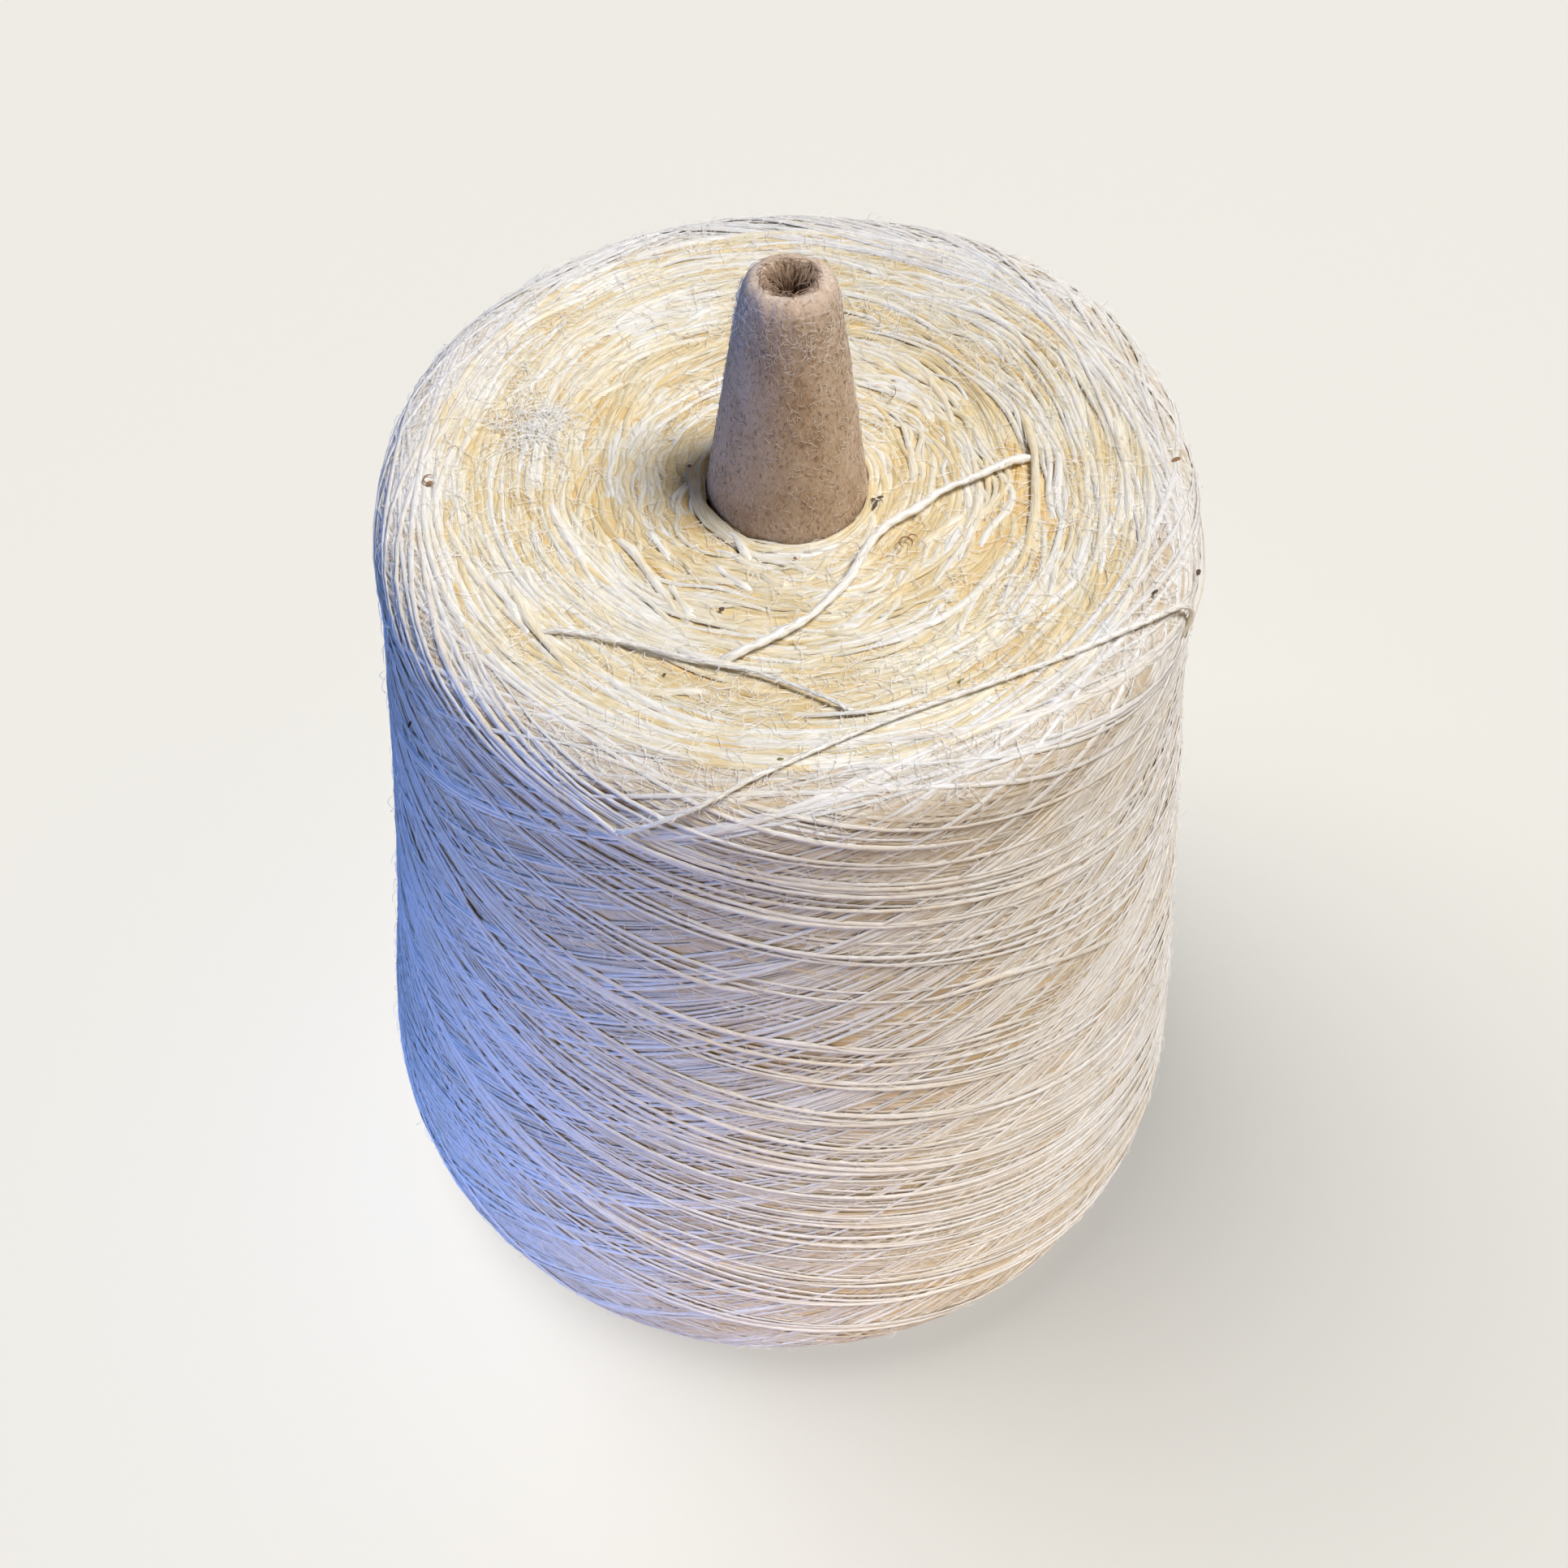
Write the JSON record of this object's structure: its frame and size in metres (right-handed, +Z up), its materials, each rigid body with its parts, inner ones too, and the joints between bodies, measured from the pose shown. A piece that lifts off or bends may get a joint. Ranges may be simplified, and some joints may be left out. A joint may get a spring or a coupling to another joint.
{
  "type": "yarn cone",
  "caption": "Cross-wound tapered package of cream slub yarn on a hollow paper cone with a rolled-in nose, with loose strands on its top face.",
  "frame": {"origin": "centre of the circle that the paper cone stands on", "axes": "+Z up along the winding axis, from the cone's wide foot to its nose; -Y is the front, where the taut strand crosses the top face"},
  "size_m": [0.1596, 0.1596, 0.1955],
  "materials": {
    "winding_cone": "rough brown winding paper, speckled, with a lighter rolled nose",
    "yarn": "cream silky slub yarn with a soft lustre",
    "slack_yarn": "thick slub of the same cream yarn",
    "thin_yarn": "thin stretch of the same cream yarn",
    "edge_yarn": "taut stretch of the same cream yarn"
  },
  "bodies": {
    "cone": {"paper_cone": "winding_cone"},
    "yarn_package": {"wound_yarn": "yarn", "slack_strand": "slack_yarn", "thin_strand": "thin_yarn", "edge_strand": "edge_yarn"}
  },
  "joints": [
    {"name": "package_lift", "type": "slide", "parent": "cone", "child": "yarn_package", "axis": [0, 0, 1], "range_m": [0, 0.2]}
  ]
}
